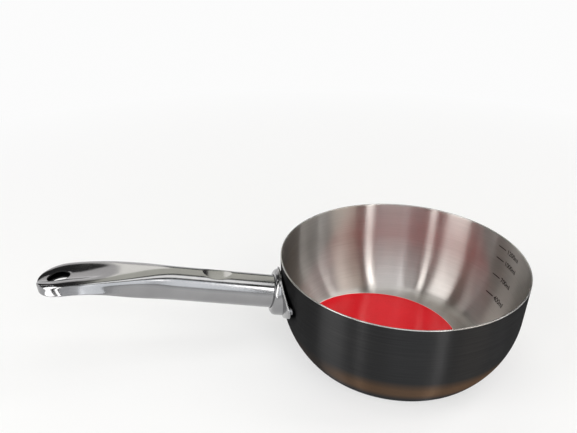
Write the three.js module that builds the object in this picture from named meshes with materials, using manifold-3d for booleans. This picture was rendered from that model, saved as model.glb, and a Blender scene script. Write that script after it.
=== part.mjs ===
// A stainless steel saucepan with a hollow tube handle, in millimetres.
// +Z is up, the origin is the centre of the base's underside, and the handle runs along -X.
import * as THREE from 'three';
import { mergeVertices } from 'three/addons/utils/BufferGeometryUtils.js';
import Module from 'manifold-3d';

const wasm = await Module();
wasm.setup();

const { degToRad, lerp, smoothstep } = THREE.MathUtils;

// Pan: one drawn sheet with a flat base, a round lower wall and a straight upper wall
const RIM_RADIUS = 84; // outside, at the top edge
const PAN_HEIGHT = 71.5;
const SHEET = 1.0; // thickness of the pan's sheet
const WALL_LEAN = degToRad(2); // the straight wall widens upwards by this angle
const STRAIGHT_WALL = 24.5; // from the round wall's centre up to the rim
const BOWL_ARC = 67.3; // outside radius of the round lower wall, seen from the side
const BASE_CORNER = 14; // outside radius between the round wall and the flat base

// Label: a round paper disc as wide as the flat base, shifted so that one side climbs the base corner
const LABEL_MARGIN = 0.2; // between the label's radius and the flat base's
const LABEL_SHIFT = 9.9;
const LABEL_SHIFT_TURN = degToRad(160); // direction of the shift, from +X
const LABEL_THICKNESS = 0.3;

// Bracket: a pressed lozenge plate round the wall, held by four spot welds
const BRACKET_RADIUS = 17.5; // of the plate's round middle
const WING_RADIUS = 5; // of the round tip on each side
const WING_ASIDE = 23; // each tip's centre, from the middle
const BRACKET_THICKNESS = 1.2;
const BRACKET_STANDOFF = 1.1; // from the wall, on the middle line
const BRACKET_FLATTER = 30; // the plate is bent to a radius this much larger than the wall's
const WELD_RADIUS = 2.6;
const WELD_UP = 11.5; // upper and lower welds, from the middle

// Handle: a tube that leaves the wall rising, then bends down and is pressed flatter towards its tip
const HANDLE_DROP = 23.6; // the tube's axis under the rim, where it meets the wall
const HANDLE_RISE = degToRad(9.4);
const HANDLE_LENGTH = 160; // from the wall to the tip, along the tube's middle line
const TUBE_START = 4.5; // the tube's open end, from the wall
const TUBE_RADIUS = 11.1;
const TUBE_WALL = 1.0;
const BEND_LENGTH = 50; // last part of the tube, which bends down
const BEND_RADIUS = 131;
const PRESS_START = 72; // where the section starts to change from round to flat, from the wall
const PRESS_END = 28; // where it has the flat end's section, from the tip
const END_TOP_HALF_WIDTH = 14.2;
const END_BOTTOM_HALF_WIDTH = 19.1; // also the radius of the round tip, seen from above
const END_TOP = 4.7; // the flat end's top, over the middle line
const END_BOTTOM = 2.3; // and its bottom, under it
const END_SQUARENESS = 6; // superellipse exponent of the end's section; 2 is round
const TIP_EDGE = 2.6; // thickness left at the pinched tip
const TIP_SOLID = 4; // last part of the tip, where the tube has no hollow
const GROOVE_START = 54; // the groove on top of the flat end starts here, from the tip
const GROOVE_FULL = 24; // and has its full depth from here
const GROOVE_DEPTH = 2.7;
const GROOVE_SHARE = 0.85; // of the top's width, which the groove takes up
const HOLE_FROM_TIP = 14.2; // hanging hole's middle
const HOLE_LENGTH = 15;
const HOLE_WIDTH = 12;
const DIMPLE_AT = 46; // thumb dimple's middle, from the wall
const DIMPLE_LENGTH = 20;
const DIMPLE_WIDTH = 12;
const DIMPLE_DEPTH = 1.6;

// Collar and spigot: the cup over the tube's end, and the sleeve inside the tube that carries it
const COLLAR_RADIUS = 15.8;
const COLLAR_REACH = 7.5; // outer face, from the wall
const COLLAR_SHOULDER = 3.6; // radius of the collar's rounded outer edge
const COLLAR_SHEET = 1.2;
const SPIGOT_REACH = 27; // inner end, from the wall
const SPIGOT_WALL = 2;

const CLEARANCE = 0.3; // left between pieces that touch

// Facets
const PAN_SIDES = 64;
const CORNER_STEPS = 5;
const BOWL_STEPS = 8;
const RIM_STEPS = 4;
const COLLAR_SIDES = 40;
const SHOULDER_STEPS = 6;
const TUBE_SIDES = 40;
const HOLLOW_SIDES = 28;
const DIMPLE_STEPS = 6;
const SHAFT_STEPS = 18; // between the dimple and the round tip
const TIP_STEPS = 7;
const TIP_TURN = degToRad(84); // the last ring stops short of a quarter turn, so that it keeps some width
const LABEL_SIDES = 44;
const LABEL_RINGS = [0.4, 0.75, 0.83, 0.92, 1]; // as shares of the label's radius
const WELD_SIDES = 16;

// The wall's outline: two arcs and a straight line, each tangent to the next
const bowlCentre = new THREE.Vector2(
  RIM_RADIUS - STRAIGHT_WALL * Math.tan(WALL_LEAN) - BOWL_ARC / Math.cos(WALL_LEAN),
  PAN_HEIGHT - STRAIGHT_WALL,
);
const cornerRise = BASE_CORNER - bowlCentre.y;
const cornerCentre = new THREE.Vector2(
  bowlCentre.x + Math.sqrt((BOWL_ARC - BASE_CORNER) ** 2 - cornerRise ** 2),
  BASE_CORNER,
);
const meetingAngle = Math.atan2(cornerRise, cornerCentre.x - bowlCentre.x);

// The handle's frame: its origin is on the wall, -X runs along the tube's axis and Z points to the tube's top
const handleHeight = PAN_HEIGHT - HANDLE_DROP;
const handle = new THREE.Group();
handle.position.set(HANDLE_DROP * Math.tan(WALL_LEAN) - RIM_RADIUS, 0, handleHeight);
handle.rotation.y = HANDLE_RISE;
handle.updateMatrix();
const handleFromPan = handle.matrix.clone().invert();

function arc(centre, radius, from, to, steps) {
  const points = [];
  for (let i = 0; i <= steps; i++) {
    const angle = lerp(from, to, i / steps);
    points.push(new THREE.Vector2(centre.x + radius * Math.cos(angle), centre.y + radius * Math.sin(angle)));
  }
  return points;
}

// The outside of the pan as (radius, height), moved outwards by an offset, from the flat base to the rim
function wallOutline(offset) {
  const corner = arc(cornerCentre, BASE_CORNER + offset, -Math.PI / 2, meetingAngle, CORNER_STEPS);
  const bowl = arc(bowlCentre, BOWL_ARC + offset, meetingAngle, -WALL_LEAN, BOWL_STEPS);
  const rim = new THREE.Vector2(RIM_RADIUS + offset / Math.cos(WALL_LEAN), PAN_HEIGHT);
  return [...corner, ...bowl.slice(1), rim];
}

// Height of the pan's inner surface at a distance from the axis, on the base and the round wall
function innerHeight(radius) {
  const cornerEnd = bowlCentre.x + (BOWL_ARC - SHEET) * Math.cos(meetingAngle);
  if (radius <= cornerCentre.x) return SHEET;
  if (radius <= cornerEnd) {
    return cornerCentre.y - Math.sqrt((BASE_CORNER - SHEET) ** 2 - (radius - cornerCentre.x) ** 2);
  }
  return bowlCentre.y - Math.sqrt((BOWL_ARC - SHEET) ** 2 - (radius - bowlCentre.x) ** 2);
}

function solid(geometry) {
  const bare = geometry.clone();
  bare.deleteAttribute('normal');
  bare.deleteAttribute('uv');
  const merged = mergeVertices(bare, 1e-3);
  return new wasm.Manifold(new wasm.Mesh({
    numProp: 3,
    vertProperties: new Float32Array(merged.attributes.position.array),
    triVerts: new Uint32Array(merged.index.array),
  }));
}

function surface(body) {
  const mesh = body.getMesh();
  const geometry = new THREE.BufferGeometry();
  geometry.setAttribute('position', new THREE.BufferAttribute(mesh.vertProperties, mesh.numProp));
  geometry.setIndex(new THREE.BufferAttribute(mesh.triVerts, 1));
  return geometry;
}

// A closed mesh over rings of equal length that follow one another, with a fan to a point at each end
function closedLoft(rings, firstPoint, lastPoint) {
  const sides = rings[0].length;
  const positions = rings.flat().flatMap((p) => p.toArray());
  positions.push(...firstPoint.toArray(), ...lastPoint.toArray());
  const first = rings.length * sides;
  const last = first + 1;
  const lastRing = first - sides;
  const faces = [];
  for (let i = 0; i < sides; i++) {
    const next = (i + 1) % sides;
    faces.push(first, next, i);
    for (let here = 0; here < lastRing; here += sides) {
      const there = here + sides;
      faces.push(here + i, here + next, there + i);
      faces.push(here + next, there + next, there + i);
    }
    faces.push(lastRing + i, lastRing + next, last);
  }
  const geometry = new THREE.BufferGeometry();
  geometry.setAttribute('position', new THREE.Float32BufferAttribute(positions, 3));
  geometry.setIndex(faces);
  return geometry;
}

// A solid turned about the Z axis from an outline of (radius, height)
function turned(outline) {
  return new THREE.LatheGeometry(outline, PAN_SIDES).rotateX(Math.PI / 2);
}

// Everything inside the wall's outline moved outwards by an offset, and bent to a larger radius by an amount
function insideWall(offset, flatter) {
  const outline = wallOutline(offset).map((p) => new THREE.Vector2(p.x + flatter, p.y));
  const bottom = new THREE.Vector2(0, -offset);
  const top = new THREE.Vector2(0, PAN_HEIGHT);
  return solid(turned([bottom, ...outline, top]).translate(flatter, 0, 0));
}

function panBody() {
  const outside = wallOutline(0);
  const inside = wallOutline(-SHEET);
  const edge = outside.pop().add(inside.pop()).multiplyScalar(0.5);
  edge.y -= SHEET / 2;
  const roundRim = arc(edge, SHEET / 2, 0, Math.PI, RIM_STEPS);
  const under = new THREE.Vector2(0, 0);
  const floor = new THREE.Vector2(0, SHEET);
  return turned([under, ...outside, ...roundRim, ...inside.reverse(), floor]);
}

function paperLabel() {
  const middle = new THREE.Vector2(LABEL_SHIFT, 0).rotateAround(new THREE.Vector2(), LABEL_SHIFT_TURN);
  const labelRadius = cornerCentre.x - LABEL_MARGIN;
  function place(radius, turn, lift) {
    const x = middle.x + radius * Math.cos(turn);
    const y = middle.y + radius * Math.sin(turn);
    return new THREE.Vector3(x, y, innerHeight(Math.hypot(x, y)) + lift);
  }
  function ring(share, lift) {
    const turns = Array.from({ length: LABEL_SIDES }, (_, i) => i / LABEL_SIDES * 2 * Math.PI);
    return turns.map((turn) => place(share * labelRadius, turn, lift));
  }
  const top = CLEARANCE + LABEL_THICKNESS;
  const lower = LABEL_RINGS.map((share) => ring(share, CLEARANCE));
  const upper = LABEL_RINGS.map((share) => ring(share, top)).reverse();
  return closedLoft([...lower, ...upper], place(0, 0, CLEARANCE), place(0, 0, top));
}

// The bracket's face as a prism along X: a round middle and two round tips, joined by tangent lines
function lozengePrism() {
  const tangent = Math.asin((BRACKET_RADIUS - WING_RADIUS) / WING_ASIDE);
  const face = new THREE.Shape();
  face.absarc(0, 0, BRACKET_RADIUS, -tangent, tangent);
  face.absarc(0, WING_ASIDE, WING_RADIUS, tangent, Math.PI - tangent);
  face.absarc(0, 0, BRACKET_RADIUS, Math.PI - tangent, Math.PI + tangent);
  face.absarc(0, -WING_ASIDE, WING_RADIUS, Math.PI + tangent, 2 * Math.PI - tangent);
  const prism = new THREE.ExtrudeGeometry(face, { depth: 2 * RIM_RADIUS, bevelEnabled: false });
  return prism.rotateY(-Math.PI / 2).translate(0, 0, handleHeight);
}

function bracketPlate() {
  const outer = insideWall(BRACKET_STANDOFF + BRACKET_THICKNESS, BRACKET_FLATTER);
  const inner = insideWall(BRACKET_STANDOFF, BRACKET_FLATTER);
  return surface(outer.subtract(inner).intersect(solid(lozengePrism())));
}

function spotWeld(aside, up) {
  const nugget = new THREE.CylinderGeometry(WELD_RADIUS, WELD_RADIUS, RIM_RADIUS, WELD_SIDES);
  nugget.rotateZ(Math.PI / 2).translate(-RIM_RADIUS, aside, handleHeight + up);
  const behindPlate = insideWall(BRACKET_STANDOFF - CLEARANCE, BRACKET_FLATTER);
  const pan = insideWall(CLEARANCE, 0);
  return surface(solid(nugget).intersect(behindPlate).subtract(pan));
}

// What is left of a piece in the handle's frame once it is cut to sit on the bracket
function seatedOnBracket(body) {
  const bracket = insideWall(BRACKET_STANDOFF + BRACKET_THICKNESS + CLEARANCE, BRACKET_FLATTER);
  const inPan = solid(surface(body).applyMatrix4(handle.matrix));
  return surface(inPan.subtract(bracket)).applyMatrix4(handleFromPan);
}

// A ring round the tube's axis from a closed outline of (radius, distance from the wall)
function turnedOnTube(outline) {
  const ring = new THREE.LatheGeometry([...outline, outline[0]], COLLAR_SIDES).rotateZ(Math.PI / 2);
  return seatedOnBracket(solid(ring));
}

function collar() {
  const bore = TUBE_RADIUS + CLEARANCE;
  const shoulder = new THREE.Vector2(COLLAR_RADIUS - COLLAR_SHOULDER, COLLAR_REACH - COLLAR_SHOULDER);
  const foot = -COLLAR_RADIUS;
  return turnedOnTube([
    new THREE.Vector2(COLLAR_RADIUS, foot),
    ...arc(shoulder, COLLAR_SHOULDER, 0, Math.PI / 2, SHOULDER_STEPS),
    new THREE.Vector2(bore, COLLAR_REACH),
    new THREE.Vector2(bore, COLLAR_REACH - COLLAR_SHEET),
    ...arc(shoulder, COLLAR_SHOULDER - COLLAR_SHEET, Math.PI / 2, 0, SHOULDER_STEPS),
    new THREE.Vector2(COLLAR_RADIUS - COLLAR_SHEET, foot),
  ]);
}

function spigot() {
  const outer = TUBE_RADIUS - TUBE_WALL - CLEARANCE;
  const inner = outer - SPIGOT_WALL;
  const foot = -COLLAR_RADIUS;
  return turnedOnTube([
    new THREE.Vector2(outer, foot),
    new THREE.Vector2(outer, SPIGOT_REACH),
    new THREE.Vector2(inner, SPIGOT_REACH),
    new THREE.Vector2(inner, foot),
  ]);
}

// A point of the tube: a distance along the middle line, which bends down, then aside and up from that line
function onTube(distance, aside, up) {
  const straight = Math.min(distance, HANDLE_LENGTH - BEND_LENGTH);
  const turn = (distance - straight) / BEND_RADIUS;
  return new THREE.Vector3(
    -straight - (BEND_RADIUS + up) * Math.sin(turn),
    aside,
    (BEND_RADIUS + up) * Math.cos(turn) - BEND_RADIUS,
  );
}

// How far the tube's top is pressed in by the thumb dimple
function dimpled(distance, aside) {
  const along = 2 * (distance - DIMPLE_AT) / DIMPLE_LENGTH;
  const across = 2 * aside / DIMPLE_WIDTH;
  return DIMPLE_DEPTH * Math.max(0, 1 - along ** 2 - across ** 2);
}

// How far it is pressed in by the groove, at a share of the top's half width
function grooved(distance, share) {
  const started = smoothstep(distance, HANDLE_LENGTH - GROOVE_START, HANDLE_LENGTH - GROOVE_FULL);
  const fromMiddle = Math.min(1, Math.abs(share) / GROOVE_SHARE);
  return GROOVE_DEPTH * started * Math.cos(fromMiddle * Math.PI / 2) ** 2;
}

function signedPower(value, power) {
  return Math.sign(value) * Math.abs(value) ** power;
}

// One ring round the tube, moved in by an inset: a circle that turns into a flat shape, wider at its bottom
function tubeRing(distance, inset, sides) {
  const press = smoothstep(distance, PRESS_START, HANDLE_LENGTH - PRESS_END);
  const intoTip = Math.max(0, distance - HANDLE_LENGTH + END_BOTTOM_HALF_WIDTH) / END_BOTTOM_HALF_WIDTH;
  const narrowing = Math.sqrt(1 - intoTip ** 2);
  const topHalfWidth = lerp(TUBE_RADIUS, END_TOP_HALF_WIDTH, press) * narrowing;
  const bottomHalfWidth = lerp(TUBE_RADIUS, END_BOTTOM_HALF_WIDTH, press) * narrowing;
  const bottom = lerp(TUBE_RADIUS, END_BOTTOM, press);
  const top = lerp(TIP_EDGE - bottom, lerp(TUBE_RADIUS, END_TOP, press), Math.sqrt(narrowing));
  const power = 2 / lerp(2, END_SQUARENESS, press);
  const ring = [];
  for (let i = 0; i < sides; i++) {
    const angle = -(i + 0.5) / sides * 2 * Math.PI;
    const level = signedPower(Math.sin(angle), power);
    const halfWidth = lerp(bottomHalfWidth, topHalfWidth, (level + 1) / 2) - inset;
    const aside = halfWidth * signedPower(Math.cos(angle), power);
    const pressed = dimpled(distance, aside) + grooved(distance, aside / topHalfWidth) * narrowing;
    const up = level > 0 ? level * (top - inset) - pressed : level * (bottom - inset);
    ring.push(onTube(distance, aside, up));
  }
  return ring;
}

// The tube's outside, or its hollow: rings between two distances from the wall, closer round the tip
function tubeSolid(from, to, inset, sides) {
  const tipStart = HANDLE_LENGTH - END_BOTTOM_HALF_WIDTH;
  const dimpleStart = DIMPLE_AT - DIMPLE_LENGTH / 2;
  const dimpleEnd = DIMPLE_AT + DIMPLE_LENGTH / 2;
  const places = [from, dimpleStart];
  for (let i = 1; i <= DIMPLE_STEPS; i++) places.push(lerp(dimpleStart, dimpleEnd, i / DIMPLE_STEPS));
  for (let i = 1; i <= SHAFT_STEPS; i++) places.push(lerp(dimpleEnd, tipStart, i / SHAFT_STEPS));
  for (let i = 1; i <= TIP_STEPS; i++) places.push(lerp(tipStart, to, Math.sin(i / TIP_STEPS * TIP_TURN)));
  const rings = places.map((distance) => tubeRing(distance, inset, sides));
  const tip = onTube(to, 0, TIP_EDGE / 2 - END_BOTTOM);
  return solid(closedLoft(rings, onTube(from, 0, 0), tip));
}

function hangingHolePunch() {
  const oval = new THREE.Shape();
  oval.absellipse(0, 0, HOLE_LENGTH / 2, HOLE_WIDTH / 2, 0, 2 * Math.PI);
  const punch = new THREE.ExtrudeGeometry(oval, { depth: 2 * TUBE_RADIUS, bevelEnabled: false });
  const middle = onTube(HANDLE_LENGTH - HOLE_FROM_TIP, 0, 0);
  const turn = (BEND_LENGTH - HOLE_FROM_TIP) / BEND_RADIUS;
  return solid(punch.translate(0, 0, -TUBE_RADIUS).rotateY(-turn).translate(middle.x, 0, middle.z));
}

function handleTube() {
  const outside = tubeSolid(TUBE_START, HANDLE_LENGTH, 0, TUBE_SIDES);
  const hollow = tubeSolid(TUBE_START - TUBE_WALL, HANDLE_LENGTH - TIP_SOLID, TUBE_WALL, HOLLOW_SIDES);
  return seatedOnBracket(outside.subtract(hollow).subtract(hangingHolePunch()));
}

// Finishes
const brushedSteel = { color: 0x8d8b88, roughness: 0.38, metalness: 1 };
const polishedSteel = { color: 0xc9cbd0, roughness: 0.08, metalness: 1 };
const bareSteel = { color: 0x77777a, roughness: 0.5, metalness: 1 };
const redPaper = { color: 0xd8202f, roughness: 0.45, metalness: 0 };

function piece(name, geometry, finish) {
  const mesh = new THREE.Mesh(geometry, new THREE.MeshStandardMaterial(finish));
  mesh.name = name;
  return mesh;
}

const saucepan = new THREE.Group();
saucepan.add(piece('pan_body', panBody(), brushedSteel));
saucepan.add(piece('base_label', paperLabel(), redPaper));
saucepan.add(piece('handle_bracket', bracketPlate(), polishedSteel));
saucepan.add(piece('bracket_weld_left', spotWeld(WING_ASIDE, 0), bareSteel));
saucepan.add(piece('bracket_weld_right', spotWeld(-WING_ASIDE, 0), bareSteel));
saucepan.add(piece('bracket_weld_upper', spotWeld(0, WELD_UP), bareSteel));
saucepan.add(piece('bracket_weld_lower', spotWeld(0, -WELD_UP), bareSteel));
handle.add(piece('handle_collar', collar(), polishedSteel));
handle.add(piece('handle_spigot', spigot(), bareSteel));
handle.add(piece('handle_tube', handleTube(), polishedSteel));
saucepan.add(handle);

export default saucepan;
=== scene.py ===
"""Looks of a stainless steel saucepan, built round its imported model.

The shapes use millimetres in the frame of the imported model, and become metres when a mesh is made.
"""

import math

import bmesh
import bpy
from mathutils import Matrix, Vector


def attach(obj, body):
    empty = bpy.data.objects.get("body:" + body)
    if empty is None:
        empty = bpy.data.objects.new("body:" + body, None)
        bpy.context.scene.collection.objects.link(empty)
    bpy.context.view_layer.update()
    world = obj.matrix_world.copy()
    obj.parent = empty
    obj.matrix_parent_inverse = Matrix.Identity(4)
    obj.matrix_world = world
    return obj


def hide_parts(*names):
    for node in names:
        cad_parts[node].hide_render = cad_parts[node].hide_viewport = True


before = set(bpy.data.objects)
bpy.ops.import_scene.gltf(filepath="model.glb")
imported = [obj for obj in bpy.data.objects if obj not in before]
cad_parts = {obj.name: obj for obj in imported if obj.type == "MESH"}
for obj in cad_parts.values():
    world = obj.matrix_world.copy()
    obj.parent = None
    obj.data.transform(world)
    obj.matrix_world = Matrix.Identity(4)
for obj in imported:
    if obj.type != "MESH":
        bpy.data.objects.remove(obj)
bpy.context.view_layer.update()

MM = 0.001
MERGE_DISTANCE = 0.001
SHARP_EDGE = math.radians(35)

# Pan
RIM_RADIUS = 84.0
PAN_HEIGHT = 71.5
SHEET = 1.0
WALL_LEAN = math.radians(2)
STRAIGHT_WALL = 24.5
BOWL_ARC = 67.3
BASE_CORNER = 14.0
BOWL_X = RIM_RADIUS - STRAIGHT_WALL * math.tan(WALL_LEAN) - BOWL_ARC / math.cos(WALL_LEAN)
BOWL_Z = PAN_HEIGHT - STRAIGHT_WALL
CORNER_X = BOWL_X + math.sqrt((BOWL_ARC - BASE_CORNER) ** 2 - (BASE_CORNER - BOWL_Z) ** 2)
MEETING_ANGLE = math.atan2(BASE_CORNER - BOWL_Z, CORNER_X - BOWL_X)
PAN_SIDES = 192
BASE_RINGS = 6
CORNER_STEPS = 12
BOWL_STEPS = 28
WALL_STEPS = 8
RIM_STEPS = 8

# Label
LABEL_EASE = 0.2
LABEL_RADIUS = CORNER_X - LABEL_EASE
LABEL_SHIFT = 9.9
LABEL_SHIFT_TURN = math.radians(160)
LABEL_UNDERSIDE = 0.04
LABEL_TOP = 0.45
LABEL_MARGIN = 0.3
LABEL_SIDES = 144
LABEL_RINGS = 20

# Bracket: its rings are given as shares of its outline
BRACKET_RADIUS = 17.5
WING_RADIUS = 5.0
WING_ASIDE = 23.0
BRACKET_THICKNESS = 1.2
BRACKET_STANDOFF = 1.1
BRACKET_FLATTER = 30.0
BRACKET_SHARES = [0.15, 0.3, 0.45, 0.6, 0.75, 0.88, 0.97]
BEVEL_SHARE = 0.99
BEVEL_START = 0.1
BEVEL_END = 0.4
MIDDLE_STEPS = 16
WING_STEPS = 20
BRACKET_EDGE = 1.5

# Handle
HANDLE_DROP = 23.6
HANDLE_RISE = math.radians(9.4)
HANDLE_LENGTH = 160.0
TUBE_START = 5.6
TUBE_RADIUS = 11.1
TUBE_WALL = 1.0
BEND_LENGTH = 50.0
BEND_RADIUS = 131.0
PRESS_START = 72.0
PRESS_END = 28.0
END_TOP_HALF_WIDTH = 14.2
END_BOTTOM_HALF_WIDTH = 19.1
END_TOP = 4.7
END_BOTTOM = 2.3
END_SQUARENESS = 6.0
TIP_EDGE = 2.6
TIP_SOLID = 4.0
GROOVE_START = 54.0
GROOVE_FULL = 24.0
GROOVE_DEPTH = 2.7
GROOVE_SHARE = 0.85
HOLE_FROM_TIP = 14.2
HOLE_LENGTH = 15.0
HOLE_WIDTH = 12.0
DIMPLE_AT = 46.0
DIMPLE_LENGTH = 20.0
DIMPLE_WIDTH = 12.0
DIMPLE_DEPTH = 1.6
HANDLE_HEIGHT = PAN_HEIGHT - HANDLE_DROP
HANDLE_X = HANDLE_DROP * math.tan(WALL_LEAN) - RIM_RADIUS
TUBE_SIDES = 96
TUBE_STEPS = 130
TIP_STEPS = 24
TIP_SPREAD = 24.5
HOLE_SIDES = 64

# Collar
COLLAR_RADIUS = 15.8
COLLAR_REACH = 7.5
COLLAR_SHOULDER = 3.6
COLLAR_SHEET = 1.2
COLLAR_LIP = 0.25
SEAT_GAP = 0.05
CLEARANCE = 0.3
COLLAR_SIDES = 128
OUTER_STEPS = 14
INNER_STEPS = 8
MEETING_HALVINGS = 40

# Volume marks: millilitres, and the height of that level above the base's underside
# A mark's corners are down (-1) or up (1), and on the wall (0) or proud of it (1)
VOLUME_LEVELS = {400: 25.4, 700: 40.2, 1000: 54.3, 1200: 63.7}
MARK_TURN = math.radians(14.7)
MARK_LENGTH = 8.2
MARK_HEIGHT = 0.75
MARK_GAP = 1.6
MARK_PROUD = 0.06
MARK_STEPS = 10
MARK_CORNERS = [(-1, 0), (1, 0), (1, 1), (-1, 1)]
NUMERAL_SIZE = 5.0
NUMERAL_WEIGHT = 0.06

# Camera: placed by its distance and direction from the middle of the rim, then turned
CAMERA_DISTANCE = 432.3
CAMERA_AZIMUTH = math.radians(-20)
CAMERA_ELEVATION = math.radians(29.39)
CAMERA_YAW = math.radians(10.83)
CAMERA_PITCH = math.radians(2.32)
CAMERA_ROLL = math.radians(-7.04)
SENSOR_WIDTH = 36.0
FOCAL_PIXELS = 620.0
IMAGE_WIDTH = 577.0
CLIP_START = 0.01
CLIP_END = 50.0

# Node sockets of a colour mix
MIX_FIRST = 6
MIX_SECOND = 7
MIX_RESULT = 2

# Brushed steel: a brush is its lines' width in metres and length in radians, and its noise's detail
FINE_BRUSH = (0.00025, 0.2, 3.0)
WIDE_BRUSH = (0.0009, 0.5, 2.0)
BRUSH_RANGE = (0.3, 0.7)
BRUSH_DEPTH = 0.0001
CRISP_ROUGHNESS = 0.15

# Painted reflection: a warm ring low on the outer wall stands in for a reflected brown surface. In metres:
# its strength at shares of its top's height, and where along X it fades
REFLECTION_RING_TOP = 0.03
REFLECTION_RING_STOPS = [(0.3, 0.0), (0.53, 1.0), (0.72, 1.0), (1.0, 0.0)]
REFLECTION_FADED_AT = -0.064
REFLECTION_FULL_AT = -0.042
REFLECTION_LEAST = 0.15

# Polished steel: noise scales per metre, and depth in metres
SCRATCH_SCALES = (40.0, 900.0, 900.0)
SCRATCH_DETAIL = 3.0
SCRATCH_STRENGTH = 0.05
SCRATCH_DEPTH = 0.00002
SMUDGE_SCALE = 60.0
SMUDGE_DETAIL = 4.0
SMUDGE_RANGE = (0.3, 0.7)
SMUDGE_ROUGH_RANGE = (0.35, 0.7)

# Paper and etched marks: noise scales per metre, and depth in metres
FIBRE_SCALE = 900.0
FIBRE_DETAIL = 5.0
FIBRE_STRENGTH = 0.12
FIBRE_DEPTH = 0.00003
TONE_SCALE = 35.0
TONE_DETAIL = 2.0
GRAIN_SCALE = 2500.0
GRAIN_DETAIL = 3.0
SPOT_RANGE = (0.35, 0.65)

# Studio, in metres: near the pan the floor shows the pan's shadow, and far from it plain white
FLOOR_COLOUR = (0.9, 0.9, 0.9)
FLOOR_ROUGHNESS = 0.9
FLOOR_SPECULAR = 0.1
FLOOR_REACH = 8.0
FLOOR_LEVEL = -0.0003
FLOOR_WHITE = (0.97, 0.97, 0.97)
FLOOR_NEAR = 0.25
FLOOR_FAR = 0.7
NEAR_WHITE_SHARE = 0.6
SKY_STOPS = [(0.0, 0.8), (0.12, 0.75), (0.24, 0.06), (1.0, 0.04)]
LAMP_DISTANCE = 1.5
PANE_COLOUR = (1.0, 0.99, 0.97)


def lerp(a, b, t):
    return a + (b - a) * t


def smoothstep(x, low, high):
    t = min(1.0, max(0.0, (x - low) / (high - low)))
    return t * t * (3 - 2 * t)


def arc(centre_x, centre_z, radius, start, end, steps):
    angles = [lerp(start, end, i / steps) for i in range(steps + 1)]
    return [(centre_x + radius * math.cos(a), centre_z + radius * math.sin(a)) for a in angles]


def full_turn(sides):
    return [2 * math.pi * i / sides for i in range(sides)]


# The wall as (radius, height), moved outwards by an offset, from the flat base's edge to just under the rim
def wall_outline(offset):
    corner = arc(CORNER_X, BASE_CORNER, BASE_CORNER + offset, -math.pi / 2, MEETING_ANGLE, CORNER_STEPS)
    bowl = arc(BOWL_X, BOWL_Z, BOWL_ARC + offset, MEETING_ANGLE, -WALL_LEAN, BOWL_STEPS)
    top = PAN_HEIGHT - SHEET / 2
    heights = [lerp(bowl[-1][1], top, i / WALL_STEPS) for i in range(1, WALL_STEPS + 1)]
    return corner + bowl[1:] + [(wall_radius(z, offset), z) for z in heights]


# Radius of the wall, moved outwards by an offset, at a height on the bowl or above it
def wall_radius(z, offset):
    if z >= BOWL_Z - (BOWL_ARC + offset) * math.sin(WALL_LEAN):
        return RIM_RADIUS + offset / math.cos(WALL_LEAN) - (PAN_HEIGHT - z) * math.tan(WALL_LEAN)
    return BOWL_X + math.sqrt((BOWL_ARC + offset) ** 2 - (z - BOWL_Z) ** 2)


def inner_height(radius):
    corner_end = BOWL_X + (BOWL_ARC - SHEET) * math.cos(MEETING_ANGLE)
    if radius <= CORNER_X:
        return SHEET
    if radius <= corner_end:
        return BASE_CORNER - math.sqrt((BASE_CORNER - SHEET) ** 2 - (radius - CORNER_X) ** 2)
    return BOWL_Z - math.sqrt((BOWL_ARC - SHEET) ** 2 - (radius - BOWL_X) ** 2)


# A point of the handle's frame, where -X runs along the tube from the wall, in the pan's frame
def from_handle(x, y, z):
    cos = math.cos(HANDLE_RISE)
    sin = math.sin(HANDLE_RISE)
    return (HANDLE_X + x * cos + z * sin, y, HANDLE_HEIGHT - x * sin + z * cos)


def bracket_x(y, z, offset):
    bend = wall_radius(z, offset) + BRACKET_FLATTER
    return BRACKET_FLATTER - math.sqrt(bend ** 2 - y ** 2)


# Node graph helper: adds a node, sets its values and links its inputs
def node(tree, kind, inputs=None, **settings):
    made = tree.nodes.new(kind)
    for key, value in settings.items():
        setattr(made, key, value)
    for key, value in (inputs or {}).items():
        if isinstance(value, bpy.types.NodeSocket):
            tree.links.new(value, made.inputs[key])
        else:
            made.inputs[key].default_value = value
    return made


def new_material(name, **values):
    material = bpy.data.materials.new(name)
    material.use_nodes = True
    tree = material.node_tree
    shader = tree.nodes["Principled BSDF"]
    for key, value in values.items():
        shader.inputs[key.replace("_", " ")].default_value = value
    return material, tree, shader


def math_node(tree, operation, a, b=0.0):
    return node(tree, "ShaderNodeMath", {0: a, 1: b}, operation=operation).outputs[0]


def average(tree, a, b):
    return math_node(tree, "MULTIPLY", math_node(tree, "ADD", a, b), 0.5)


def vector_node(tree, operation, inputs):
    return node(tree, "ShaderNodeVectorMath", inputs, operation=operation).outputs


def map_range(tree, value, low, high, to_low=0.0, to_high=1.0):
    inputs = {"Value": value, "From Min": low, "From Max": high, "To Min": to_low, "To Max": to_high}
    return node(tree, "ShaderNodeMapRange", inputs).outputs["Result"]


def noise(tree, vector, scale, detail):
    inputs = {"Vector": vector, "Scale": scale, "Detail": detail}
    return node(tree, "ShaderNodeTexNoise", inputs).outputs["Fac"]


def bump(tree, strength, depth, height):
    inputs = {"Strength": strength, "Distance": depth, "Height": height}
    return node(tree, "ShaderNodeBump", inputs).outputs["Normal"]


def object_place(tree):
    return node(tree, "ShaderNodeTexCoord").outputs["Object"]


def ramp(tree, factor, stops):
    made = node(tree, "ShaderNodeValToRGB", {"Fac": factor})
    elements = made.color_ramp.elements
    while len(elements) < len(stops):
        elements.new(0.5)
    for element, (position, colour) in zip(elements, stops):
        element.position = position
        element.color = (*colour, 1.0)
    return made.outputs["Color"]


def grey_ramp(tree, factor, stops):
    return ramp(tree, factor, [(position, (grey, grey, grey)) for position, grey in stops])


# A colour that goes from dark to light over a range of a noise
def two_tone(tree, factor, span, dark, light):
    low, high = span
    return ramp(tree, factor, [(low, dark), (high, light)])


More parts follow.
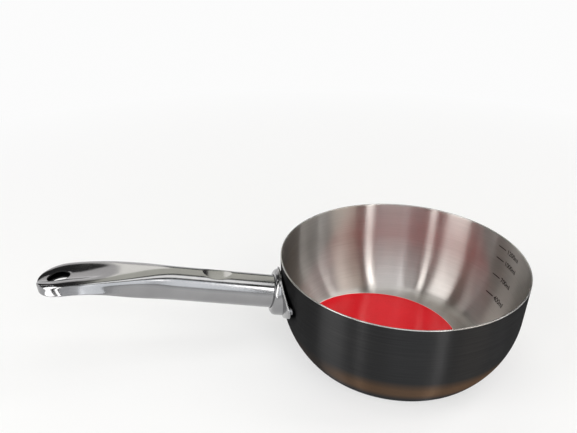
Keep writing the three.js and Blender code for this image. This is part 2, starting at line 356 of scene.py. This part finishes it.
# Noise drawn out round the pan's axis, as lines of a brush that went round it
def round_brush(tree, line, length, detail):
    place = object_place(tree)
    flat = vector_node(tree, "MULTIPLY", {0: place, 1: (1, 1, 0)})["Vector"]
    radius = vector_node(tree, "LENGTH", {0: flat})["Value"]
    around = vector_node(tree, "NORMALIZE", {0: flat})["Vector"]
    around = vector_node(tree, "SCALE", {0: around, "Scale": 1 / length})["Vector"]
    height = node(tree, "ShaderNodeSeparateXYZ", {0: place}).outputs["Z"]
    along = math_node(tree, "MULTIPLY", math_node(tree, "ADD", radius, height), 1 / line)
    across = node(tree, "ShaderNodeCombineXYZ", {"Z": along}).outputs[0]
    vector = vector_node(tree, "ADD", {0: around, 1: across})["Vector"]
    return noise(tree, vector, 1.0, detail)


# A colour with a painted reflection, a warm ring low on the pan's wall, which fades towards the handle
def painted_reflection_ring(tree, colour, reflection_warm):
    sides = node(tree, "ShaderNodeSeparateXYZ", {0: object_place(tree)}).outputs
    ring = grey_ramp(tree, map_range(tree, sides["Z"], 0.0, REFLECTION_RING_TOP), REFLECTION_RING_STOPS)
    fade = map_range(tree, sides["X"], REFLECTION_FADED_AT, REFLECTION_FULL_AT, REFLECTION_LEAST)
    share = math_node(tree, "MULTIPLY", ring, fade)
    inputs = {"Factor": share, MIX_FIRST: colour, MIX_SECOND: (*reflection_warm, 1)}
    return node(tree, "ShaderNodeMix", inputs, data_type="RGBA").outputs[MIX_RESULT]


# Steel brushed round the pan's axis, which draws reflections out
# The warm colour is that of a painted reflection, a ring above the base, and crisp the share of a second,
# sharper reflection
def brushed_steel(name, dark, light, roughness, stretch, strength, reflection_warm=None, crisp=0.0):
    material, tree, shader = new_material(name)
    tree.nodes.remove(shader)
    fine = round_brush(tree, *FINE_BRUSH)
    wide = round_brush(tree, *WIDE_BRUSH)
    both = average(tree, fine, wide)
    colour = two_tone(tree, both, BRUSH_RANGE, dark, light)
    if reflection_warm:
        colour = painted_reflection_ring(tree, colour, reflection_warm)
    normal = bump(tree, strength, BRUSH_DEPTH, both)
    tangent = node(tree, "ShaderNodeTangent", direction_type="RADIAL", axis="Z").outputs["Tangent"]

    def gloss(rough):
        inputs = {"Color": colour, "Roughness": rough, "Anisotropy": stretch}
        inputs.update({"Normal": normal, "Tangent": tangent})
        return node(tree, "ShaderNodeBsdfAnisotropic", inputs).outputs[0]

    surface = gloss(map_range(tree, fine, *BRUSH_RANGE, *roughness))
    if crisp:
        sharper = gloss(CRISP_ROUGHNESS)
        surface = node(tree, "ShaderNodeMixShader", {0: crisp, 1: surface, 2: sharper}).outputs[0]
    tree.links.new(surface, tree.nodes["Material Output"].inputs["Surface"])
    return material


def polished_steel(name, dark, light, roughness):
    material, tree, shader = new_material(name, Metallic=1.0)
    place = object_place(tree)
    drawn = vector_node(tree, "MULTIPLY", {0: place, 1: SCRATCH_SCALES})["Vector"]
    scratches = noise(tree, drawn, 1.0, SCRATCH_DETAIL)
    smudges = noise(tree, place, SMUDGE_SCALE, SMUDGE_DETAIL)
    colour = two_tone(tree, smudges, SMUDGE_RANGE, dark, light)
    tree.links.new(colour, shader.inputs["Base Color"])
    rough = map_range(tree, smudges, *SMUDGE_ROUGH_RANGE, *roughness)
    tree.links.new(rough, shader.inputs["Roughness"])
    tree.links.new(bump(tree, SCRATCH_STRENGTH, SCRATCH_DEPTH, scratches), shader.inputs["Normal"])
    return material


def coated_paper(name, dark, light):
    material, tree, shader = new_material(
        name, Roughness=0.5, Specular_IOR_Level=0.1, Coat_Weight=0.6, Coat_Roughness=0.08
    )
    place = object_place(tree)
    fibres = noise(tree, place, FIBRE_SCALE, FIBRE_DETAIL)
    tone = noise(tree, place, TONE_SCALE, TONE_DETAIL)
    mixed = average(tree, fibres, tone)
    tree.links.new(two_tone(tree, mixed, SPOT_RANGE, dark, light), shader.inputs["Base Color"])
    tree.links.new(bump(tree, FIBRE_STRENGTH, FIBRE_DEPTH, fibres), shader.inputs["Normal"])
    return material


def etched_mark(name, dark, light):
    material, tree, shader = new_material(name, Metallic=0.6, Roughness=0.6)
    grain = noise(tree, object_place(tree), GRAIN_SCALE, GRAIN_DETAIL)
    tree.links.new(two_tone(tree, grain, SPOT_RANGE, dark, light), shader.inputs["Base Color"])
    return material


INSIDE_STEEL = brushed_steel(
    "inside_steel", (0.47, 0.45, 0.432), (0.565, 0.543, 0.522), (0.3, 0.34), 0.78, 0.08, crisp=0.16
)
# Outside steel: its colour is painted near black, far darker than steel, as a painted reflection of dark
# surroundings
OUTSIDE_STEEL_PAINTED_DARK = brushed_steel(
    "outside_steel_painted_dark", (0.033, 0.033, 0.034), (0.045, 0.045, 0.046), (0.38, 0.42), 0.72, 0.05,
    reflection_warm=(0.115, 0.073, 0.048),
)
RIM_STEEL = brushed_steel("rim_steel", (0.36, 0.36, 0.35), (0.5, 0.49, 0.48), (0.2, 0.3), 0.2, 0.1)
# Polished steel for the handle, bracket and collar: its colour is darkened well below real steel's, a
# painted dark reflection
BRIGHT_STEEL_PAINTED_DARKER = polished_steel("bright_steel_painted_darker", (0.29, 0.29, 0.295), (0.33, 0.33, 0.335), (0.13, 0.17))
# Dull steel for the inside of the tube and the hanging hole's edge: its colour is painted near black as
# painted shade
INNER_STEEL_PAINTED_SHADE = polished_steel("inner_steel_painted_shade", (0.03, 0.03, 0.03), (0.05, 0.05, 0.05), (0.5, 0.65))
BARE_STEEL = polished_steel("bare_steel", (0.2, 0.2, 0.21), (0.3, 0.3, 0.31), (0.4, 0.55))
RED_PAPER = coated_paper("red_paper", (0.78, 0.006, 0.014), (0.86, 0.011, 0.022))
WHITE_PAPER = coated_paper("white_paper", (0.74, 0.72, 0.7), (0.84, 0.82, 0.8))
MARK_INK = etched_mark("mark_ink", (0.012, 0.012, 0.012), (0.03, 0.03, 0.03))


# Faces over rings of equal length that follow one another
def ring_faces(rings, sides, closed=False):
    faces = []
    for r in range(rings if closed else rings - 1):
        here = r * sides
        there = (r + 1) % rings * sides
        for i in range(sides):
            n = (i + 1) % sides
            faces.append((here + i, here + n, there + n, there + i))
    return faces


def fan(centre, ring, sides, outwards):
    pairs = [(ring + i, ring + (i + 1) % sides) for i in range(sides)]
    return [(centre, b, a) if outwards else (centre, a, b) for a, b in pairs]


# Fans that close the first and the last ring, with their centres as the two points after the rings
def end_fans(rings, sides):
    centre = rings * sides
    return fan(centre, 0, sides, True) + fan(centre + 1, centre - sides, sides, False)


# The first ring, turned round, and the last one as plain end faces
def end_faces(rings, sides):
    last = (rings - 1) * sides
    return [tuple(range(sides - 1, -1, -1)), tuple(range(last, last + sides))]


def turned_over(faces):
    return [face[::-1] for face in faces]


# A mesh in metres from points in millimetres
def new_mesh(name, points, faces, materials, face_materials=None):
    mesh = bpy.data.meshes.new(name)
    mesh.from_pydata([[c * MM for c in p] for p in points], [], faces)
    for material in materials:
        mesh.materials.append(material)
    if face_materials:
        mesh.polygons.foreach_set("material_index", face_materials)
    return mesh


# A mesh object that rides on the pan
def add_piece(name, mesh, nodes=()):
    mesh.shade_smooth()
    mesh.set_sharp_from_angle(angle=SHARP_EDGE)
    piece = bpy.data.objects.new(name, mesh)
    bpy.context.scene.collection.objects.link(piece)
    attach(piece, "root")
    if nodes:
        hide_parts(*nodes)


def add_pan():
    outside = wall_outline(0.0)
    inside = wall_outline(-SHEET)[::-1]
    edge_x = (outside[-1][0] + inside[0][0]) / 2
    rim = arc(edge_x, PAN_HEIGHT - SHEET / 2, SHEET / 2, 0.0, math.pi, RIM_STEPS)[1:-1]
    base = [CORNER_X * k / BASE_RINGS for k in range(1, BASE_RINGS)]
    under = [(r, 0.0) for r in base]
    floor = [(r, SHEET) for r in base[::-1]]
    outline = under + outside + rim + inside + floor
    turns = full_turn(PAN_SIDES)
    points = [(r * math.cos(t), r * math.sin(t), z) for r, z in outline for t in turns]
    points += [(0.0, 0.0, 0.0), (0.0, 0.0, SHEET)]
    faces = ring_faces(len(outline), PAN_SIDES) + end_fans(len(outline), PAN_SIDES)
    in_kind, out_kind, rim_kind = range(3)
    outside_strips = len(under) + len(outside) - 1
    rim_strips = len(rim) + 1
    inside_strips = len(inside) + len(floor) - 1
    strips = [out_kind] * outside_strips + [rim_kind] * rim_strips + [in_kind] * inside_strips
    kinds = [kind for kind in strips + [out_kind, in_kind] for _ in range(PAN_SIDES)]
    mesh = new_mesh("pan", points, faces, [INSIDE_STEEL, OUTSIDE_STEEL_PAINTED_DARK, RIM_STEEL], kinds)
    add_piece("pan", mesh, ["pan_body"])


def add_label():
    middle_x = LABEL_SHIFT * math.cos(LABEL_SHIFT_TURN)
    middle_y = LABEL_SHIFT * math.sin(LABEL_SHIFT_TURN)

    def place(radius, turn, lift):
        x = middle_x + radius * math.cos(turn)
        y = middle_y + radius * math.sin(turn)
        return (x, y, inner_height(math.hypot(x, y)) + lift)

    red_radius = LABEL_RADIUS - LABEL_MARGIN
    radii = [red_radius * k / LABEL_RINGS for k in range(1, LABEL_RINGS + 1)] + [LABEL_RADIUS]
    rings = [(r, LABEL_UNDERSIDE) for r in radii] + [(r, LABEL_TOP) for r in radii[::-1]]
    points = [place(r, t, lift) for r, lift in rings for t in full_turn(LABEL_SIDES)]
    points += [place(0, 0, LABEL_UNDERSIDE), place(0, 0, LABEL_TOP)]
    faces = ring_faces(len(rings), LABEL_SIDES) + end_fans(len(rings), LABEL_SIDES)
    red_kind, white_kind = range(2)
    white = range(len(radii) - 2, len(radii) + 1)
    strips = [white_kind if k in white else red_kind for k in range(len(rings) - 1)]
    kinds = [kind for kind in strips + [red_kind, red_kind] for _ in range(LABEL_SIDES)]
    mesh = new_mesh("label", points, faces, [RED_PAPER, WHITE_PAPER], kinds)
    add_piece("label", mesh, ["base_label"])


# The bracket's outline as (aside, up): a round middle and two round tips, joined by tangent lines
def lozenge():
    tangent = math.asin((BRACKET_RADIUS - WING_RADIUS) / WING_ASIDE)
    quarter = math.pi / 2
    upper = arc(0.0, 0.0, BRACKET_RADIUS, quarter - tangent, quarter + tangent, MIDDLE_STEPS)
    left = arc(-WING_ASIDE, 0.0, WING_RADIUS, quarter + tangent, 3 * quarter - tangent, WING_STEPS)
    lower = arc(0.0, 0.0, BRACKET_RADIUS, 3 * quarter - tangent, 3 * quarter + tangent, MIDDLE_STEPS)
    right = arc(WING_ASIDE, 0.0, WING_RADIUS, -quarter + tangent, quarter - tangent, WING_STEPS)
    outline = upper + left + lower + right
    fine = []
    for (y0, z0), (y1, z1) in zip(outline, outline[1:] + outline[:1]):
        steps = max(1, round(math.hypot(y1 - y0, z1 - z0) / BRACKET_EDGE))
        fine += [(lerp(y0, y1, i / steps), lerp(z0, z1, i / steps)) for i in range(steps)]
    return fine


def add_bracket():
    outline = lozenge()
    back = BRACKET_STANDOFF
    front = BRACKET_STANDOFF + BRACKET_THICKNESS
    rings = [(s, back) for s in BRACKET_SHARES]
    rings += [(BEVEL_SHARE, back + BEVEL_START), (1.0, back + BEVEL_END)]
    rings += [(1.0, front - BEVEL_END), (BEVEL_SHARE, front - BEVEL_START)]
    rings += [(s, front) for s in BRACKET_SHARES[::-1]]

    def place(share, offset, y, z):
        height = HANDLE_HEIGHT + share * z
        return (bracket_x(share * y, height, offset), share * y, height)

    points = [place(s, offset, y, z) for s, offset in rings for y, z in outline]
    points += [place(0, back, 0, 0), place(0, front, 0, 0)]
    faces = ring_faces(len(rings), len(outline)) + end_fans(len(rings), len(outline))
    mesh = new_mesh("bracket", points, turned_over(faces), [BRIGHT_STEEL_PAINTED_DARKER])
    add_piece("bracket", mesh, ["handle_bracket"])


# Distance from the wall, along the tube, at which a line beside the tube's axis meets the bracket
def bracket_meeting(y, z):
    inner = -COLLAR_RADIUS
    outer = COLLAR_REACH
    offset = BRACKET_STANDOFF + BRACKET_THICKNESS + SEAT_GAP
    for _ in range(MEETING_HALVINGS):
        middle = (inner + outer) / 2
        point = from_handle(-middle, y, z)
        if point[0] > bracket_x(point[1], point[2], offset):
            inner = middle
        else:
            outer = middle
    return outer


def add_collar():
    bore = TUBE_RADIUS + CLEARANCE
    round_x = COLLAR_RADIUS - COLLAR_SHOULDER
    round_z = COLLAR_REACH - COLLAR_SHOULDER
    outer = arc(round_x, round_z, COLLAR_SHOULDER, 0.0, math.pi / 2, OUTER_STEPS)
    inner = arc(round_x, round_z, COLLAR_SHOULDER - COLLAR_SHEET, math.pi / 2, 0.0, INNER_STEPS)
    lip = [(bore + COLLAR_LIP, COLLAR_REACH), (bore, COLLAR_REACH - COLLAR_LIP)]
    lip.append((bore, COLLAR_REACH - COLLAR_SHEET))
    outline = outer + lip + inner
    turns = full_turn(COLLAR_SIDES)
    points = []
    for radius, distance in outline:
        points += [from_handle(-distance, radius * math.cos(t), radius * math.sin(t)) for t in turns]
    seat = [COLLAR_RADIUS - COLLAR_SHEET, COLLAR_RADIUS]
    for radius in seat:
        for t in turns:
            y = radius * math.cos(t)
            z = radius * math.sin(t)
            points.append(from_handle(-bracket_meeting(y, z), y, z))
    faces = ring_faces(len(outline) + len(seat), COLLAR_SIDES, closed=True)
    mesh = new_mesh("collar", points, turned_over(faces), [BRIGHT_STEEL_PAINTED_DARKER])
    add_piece("collar", mesh, ["handle_collar"])


# A point of the tube: a distance along its middle line, which bends down, then aside and up from that line
def on_tube(distance, aside, up):
    straight = min(distance, HANDLE_LENGTH - BEND_LENGTH)
    turn = (distance - straight) / BEND_RADIUS
    radius = BEND_RADIUS + up
    return from_handle(-straight - radius * math.sin(turn), aside, radius * math.cos(turn) - BEND_RADIUS)


def dimpled(distance, aside):
    along = 2 * (distance - DIMPLE_AT) / DIMPLE_LENGTH
    across = 2 * aside / DIMPLE_WIDTH
    return DIMPLE_DEPTH * max(0.0, 1 - along ** 2 - across ** 2)


def grooved(distance, share):
    started = smoothstep(distance, HANDLE_LENGTH - GROOVE_START, HANDLE_LENGTH - GROOVE_FULL)
    from_middle = min(1.0, abs(share) / GROOVE_SHARE)
    return GROOVE_DEPTH * started * math.cos(from_middle * math.pi / 2) ** 2


def signed_power(value, power):
    return math.copysign(abs(value) ** power, value)


# One ring round the tube, moved in by an inset: a circle that turns into a flat shape, wider at its bottom
def tube_ring(distance, inset):
    press = smoothstep(distance, PRESS_START, HANDLE_LENGTH - PRESS_END)
    into_tip = max(0.0, distance - HANDLE_LENGTH + END_BOTTOM_HALF_WIDTH) / END_BOTTOM_HALF_WIDTH
    narrowing = math.sqrt(1 - into_tip ** 2)
    top_half_width = lerp(TUBE_RADIUS, END_TOP_HALF_WIDTH, press) * narrowing
    bottom_half_width = lerp(TUBE_RADIUS, END_BOTTOM_HALF_WIDTH, press) * narrowing
    bottom = lerp(TUBE_RADIUS, END_BOTTOM, press)
    top = lerp(TIP_EDGE - bottom, lerp(TUBE_RADIUS, END_TOP, press), math.sqrt(narrowing))
    power = 2 / lerp(2.0, END_SQUARENESS, press)
    ring = []
    for i in range(TUBE_SIDES):
        angle = 2 * math.pi * (i + 0.5) / TUBE_SIDES
        level = signed_power(math.sin(angle), power)
        half_width = lerp(bottom_half_width, top_half_width, (level + 1) / 2) - inset
        aside = half_width * signed_power(math.cos(angle), power)
        if level > 0:
            pressed = dimpled(distance, aside) + grooved(distance, aside / top_half_width) * narrowing
            up = level * (top - inset) - pressed
        else:
            up = level * (bottom - inset)
        ring.append(on_tube(distance, aside, up))
    return ring


# A mesh whose faces all have the tube's polished outer steel, darkened as a painted dark reflection (0), or
# its dull inner steel, painted near black as painted shade inside the tube and the hole (1)
def tube_mesh(name, points, faces, kind):
    return new_mesh(name, points, faces, [BRIGHT_STEEL_PAINTED_DARKER, INNER_STEEL_PAINTED_SHADE], [kind] * len(faces))


# The tube without its hollow, or its hollow: rings that crowd towards the tip and end just short of it
def tube_solid(name, start, end, inset, kind):
    tip = HANDLE_LENGTH - END_BOTTOM_HALF_WIDTH
    places = [lerp(start, tip, i / TUBE_STEPS) for i in range(TUBE_STEPS + 1)]
    for i in range(1, TIP_STEPS + 1):
        places.append(lerp(tip, end, math.sin(i / TIP_SPREAD * math.pi / 2)))
    points = [p for place in places for p in tube_ring(place, inset)]
    points += [on_tube(start, 0.0, 0.0), on_tube(end, 0.0, TIP_EDGE / 2 - END_BOTTOM)]
    faces = ring_faces(len(places), TUBE_SIDES) + end_fans(len(places), TUBE_SIDES)
    return tube_mesh(name, points, turned_over(faces), kind)


# The hanging hole as an oval prism square to the tube's middle line
def hole_punch(name, kind):
    middle = Vector(on_tube(HANDLE_LENGTH - HOLE_FROM_TIP, 0.0, 0.0))
    upwards = Vector(on_tube(HANDLE_LENGTH - HOLE_FROM_TIP, 0.0, 1.0)) - middle
    lengthwise = Vector((0, 1, 0)).cross(upwards)
    levels = [-TUBE_RADIUS, TUBE_RADIUS]
    points = []
    for up in levels:
        for t in full_turn(HOLE_SIDES):
            point = middle + up * upwards + HOLE_LENGTH / 2 * math.cos(t) * lengthwise
            points.append(point + Vector((0, HOLE_WIDTH / 2 * math.sin(t), 0)))
    faces = ring_faces(len(levels), HOLE_SIDES) + end_faces(len(levels), HOLE_SIDES)
    return tube_mesh(name, points, faces, kind)


# Joins the points of a mesh that lie closer together than a distance
def merge_points(mesh, distance):
    shape = bmesh.new()
    shape.from_mesh(mesh)
    bmesh.ops.remove_doubles(shape, verts=shape.verts, dist=distance)
    shape.to_mesh(mesh)
    shape.free()


# The mesh that is left of one mesh when others are cut out of it
def cut_out(mesh, cutters):
    body = bpy.data.objects.new("cut_body", mesh)
    bpy.context.scene.collection.objects.link(body)
    tools = []
    for cutter in cutters:
        tool = bpy.data.objects.new(cutter.name, cutter)
        bpy.context.scene.collection.objects.link(tool)
        cut = body.modifiers.new(cutter.name, "BOOLEAN")
        cut.operation = "DIFFERENCE"
        cut.solver = "EXACT"
        cut.object = tool
        tools.append(tool)
    graph = bpy.context.evaluated_depsgraph_get()
    result = bpy.data.meshes.new_from_object(body.evaluated_get(graph))
    for made in [body, *tools]:
        bpy.data.objects.remove(made)
    merge_points(result, MERGE_DISTANCE * MM)
    return result


def add_tube():
    bright, shaded_inside = range(2)
    outside = tube_solid("tube_outside", TUBE_START, HANDLE_LENGTH, 0.0, bright)
    hollow = tube_solid("tube_hollow", TUBE_START - TUBE_WALL, HANDLE_LENGTH - TIP_SOLID, TUBE_WALL, shaded_inside)
    mesh = cut_out(outside, [hollow, hole_punch("tube_hole", shaded_inside)])
    add_piece("handle", mesh, ["handle_tube"])


# A point on the inner wall: right of the marks' left end, up from a level, and proud of the steel
def on_inner_wall(right, up, level, proud):
    height = level + up
    radius = wall_radius(height, -SHEET) - proud
    turn = MARK_TURN - right / wall_radius(level, -SHEET)
    return (radius * math.cos(turn), radius * math.sin(turn), height)


# The numerals as a flat mesh in millimetres
def numeral_mesh(text):
    curve = bpy.data.curves.new("numeral", "FONT")
    curve.body = text
    curve.size = NUMERAL_SIZE
    curve.extrude = MARK_PROUD / 2
    curve.offset = NUMERAL_WEIGHT
    curve.align_y = "CENTER"
    holder = bpy.data.objects.new("numeral", curve)
    bpy.context.scene.collection.objects.link(holder)
    graph = bpy.context.evaluated_depsgraph_get()
    mesh = bpy.data.meshes.new_from_object(holder.evaluated_get(graph))
    bpy.data.objects.remove(holder)
    merge_points(mesh, MERGE_DISTANCE)
    return mesh


# A line and its numerals on the inner wall, at the height of a volume
def add_volume_mark(millilitres, level):
    points = []
    for i in range(MARK_STEPS + 1):
        right = MARK_LENGTH * i / MARK_STEPS
        for up, proud in MARK_CORNERS:
            points.append(on_inner_wall(right, up * MARK_HEIGHT / 2, level, proud * MARK_PROUD))
    corners = len(MARK_CORNERS)
    faces = ring_faces(MARK_STEPS + 1, corners) + end_faces(MARK_STEPS + 1, corners)
    numerals = numeral_mesh(f"{millilitres}ml")
    first = len(points)
    for vertex in numerals.vertices:
        right = MARK_LENGTH + MARK_GAP + vertex.co.x
        points.append(on_inner_wall(right, vertex.co.y, level, MARK_PROUD / 2 + vertex.co.z))
    faces += [tuple(first + v for v in face.vertices) for face in numerals.polygons]
    name = f"volume_mark_{millilitres}"
    add_piece(name, new_mesh(name, points, faces, [MARK_INK]))


def add_camera():
    up_axis = Vector((0, 0, 1))
    flat = math.cos(CAMERA_ELEVATION)
    offset = Vector((0, -flat, math.sin(CAMERA_ELEVATION))) * CAMERA_DISTANCE
    offset.rotate(Matrix.Rotation(CAMERA_AZIMUTH, 3, up_axis))
    forward = -offset.normalized()
    right = forward.cross(up_axis).normalized()
    up = right.cross(forward)
    axes = Matrix((right, up, -forward)).transposed()
    axes = Matrix.Rotation(CAMERA_YAW, 3, axes.col[1]) @ axes
    axes = Matrix.Rotation(CAMERA_PITCH, 3, axes.col[0]) @ axes
    axes = Matrix.Rotation(CAMERA_ROLL, 3, -axes.col[2]) @ axes
    data = bpy.data.cameras.new("camera")
    data.sensor_fit = "HORIZONTAL"
    data.sensor_width = SENSOR_WIDTH
    data.lens = FOCAL_PIXELS / IMAGE_WIDTH * SENSOR_WIDTH
    data.clip_start = CLIP_START
    data.clip_end = CLIP_END
    camera = bpy.data.objects.new("camera", data)
    camera.matrix_world = Matrix.Translation((offset + Vector((0, 0, PAN_HEIGHT))) * MM) @ axes.to_4x4()
    bpy.context.scene.collection.objects.link(camera)
    bpy.context.scene.camera = camera


# A rectangular lamp that faces the pan; azimuth 0 is in front (-Y) and 90 to the right (+X), in degrees
def softbox(name, azimuth, elevation, width, height, brightness, colour):
    turn = math.radians(azimuth)
    rise = math.radians(elevation)
    away = Vector((math.sin(turn) * math.cos(rise), -math.cos(turn) * math.cos(rise), math.sin(rise)))
    data = bpy.data.lights.new(name, "AREA")
    data.shape = "RECTANGLE"
    data.size = width
    data.size_y = height
    data.energy = brightness * math.pi * width * height
    data.color = colour
    lamp = bpy.data.objects.new(name, data)
    lamp.location = away * LAMP_DISTANCE
    lamp.rotation_euler = away.to_track_quat("Z", "Y").to_euler()
    bpy.context.scene.collection.objects.link(lamp)


# A pale floor: camera, glossy and transmission rays see a mix of its lit colour and plain white
def add_floor():
    corners = [(-1, -1), (1, -1), (1, 1), (-1, 1)]
    points = [(x * FLOOR_REACH, y * FLOOR_REACH, FLOOR_LEVEL) for x, y in corners]
    mesh = bpy.data.meshes.new("floor")
    mesh.from_pydata(points, [], [(0, 1, 2, 3)])
    material, tree, shader = new_material(
        "floor", Base_Color=(*FLOOR_COLOUR, 1), Roughness=FLOOR_ROUGHNESS, Specular_IOR_Level=FLOOR_SPECULAR
    )
    path = node(tree, "ShaderNodeLightPath").outputs
    seen = math_node(tree, "MAXIMUM", path["Is Camera Ray"], path["Is Glossy Ray"])
    seen = math_node(tree, "MAXIMUM", seen, path["Is Transmission Ray"])
    distance = vector_node(tree, "LENGTH", {0: object_place(tree)})["Value"]
    far = map_range(tree, distance, FLOOR_NEAR, FLOOR_FAR, NEAR_WHITE_SHARE)
    share = math_node(tree, "MULTIPLY", seen, far)
    white = node(tree, "ShaderNodeEmission", {"Color": (*FLOOR_WHITE, 1), "Strength": 1.0}).outputs[0]
    mixed = node(tree, "ShaderNodeMixShader", {0: share, 1: shader.outputs[0], 2: white})
    tree.links.new(mixed.outputs[0], tree.nodes["Material Output"].inputs["Surface"])
    mesh.materials.append(material)
    floor = bpy.data.objects.new("floor", mesh)
    bpy.context.scene.collection.objects.link(floor)


# A sky that is pale at the horizon and dim above it
def add_sky():
    world = bpy.data.worlds.new("studio")
    world.use_nodes = True
    tree = world.node_tree
    place = node(tree, "ShaderNodeTexCoord").outputs["Generated"]
    height = node(tree, "ShaderNodeSeparateXYZ", {0: place}).outputs["Z"]
    tree.links.new(grey_ramp(tree, height, SKY_STOPS), tree.nodes["Background"].inputs["Color"])
    bpy.context.scene.world = world


def add_lamps():
    softbox("window", -5, 36, 0.74, 1.2, 1.7, (0.94, 0.97, 1.0))
    softbox("window_side", -28, 36, 0.46, 1.2, 0.8, (0.97, 0.98, 1.0))
    softbox("ceiling", 0, 78, 0.9, 0.5, 2.2, (1.0, 1.0, 0.98))
    softbox("back_wall", 180, 54, 0.9, 1.6, 1.0, (1.0, 0.99, 0.88))
    softbox("corner_wall", -157, 24, 0.9, 0.75, 0.9, (1.0, 0.97, 0.96))
    softbox("pane_right", 19, 26, 0.17, 1.3, 7.8, PANE_COLOUR)
    softbox("pane_far_right", 47, 26, 0.75, 1.3, 1.3, (1.0, 0.88, 0.76))
    softbox("side_a", 78, 45, 0.09, 1.3, 8.5, PANE_COLOUR)
    softbox("side_b", 104, 45, 0.11, 1.3, 7.5, PANE_COLOUR)
    softbox("pane_left_a", -46, 26, 0.13, 1.3, 5.8, PANE_COLOUR)
    softbox("pane_left_b", -72, 26, 0.6, 1.3, 4.2, PANE_COLOUR)
    softbox("thin_line", -112, 26, 0.025, 1.3, 6.0, PANE_COLOUR)


add_camera()
add_floor()
add_sky()
add_lamps()
bpy.context.scene.view_settings.view_transform = "Standard"
add_pan()
add_label()
add_bracket()
add_collar()
add_tube()
for volume, volume_level in VOLUME_LEVELS.items():
    add_volume_mark(volume, volume_level)

# The spigot and the welds keep their meshes
welds = [f"bracket_weld_{side}" for side in ("left", "right", "upper", "lower")]
for hidden in ["handle_spigot", *welds]:
    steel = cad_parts[hidden].data
    steel.materials.clear()
    steel.materials.append(BARE_STEEL)
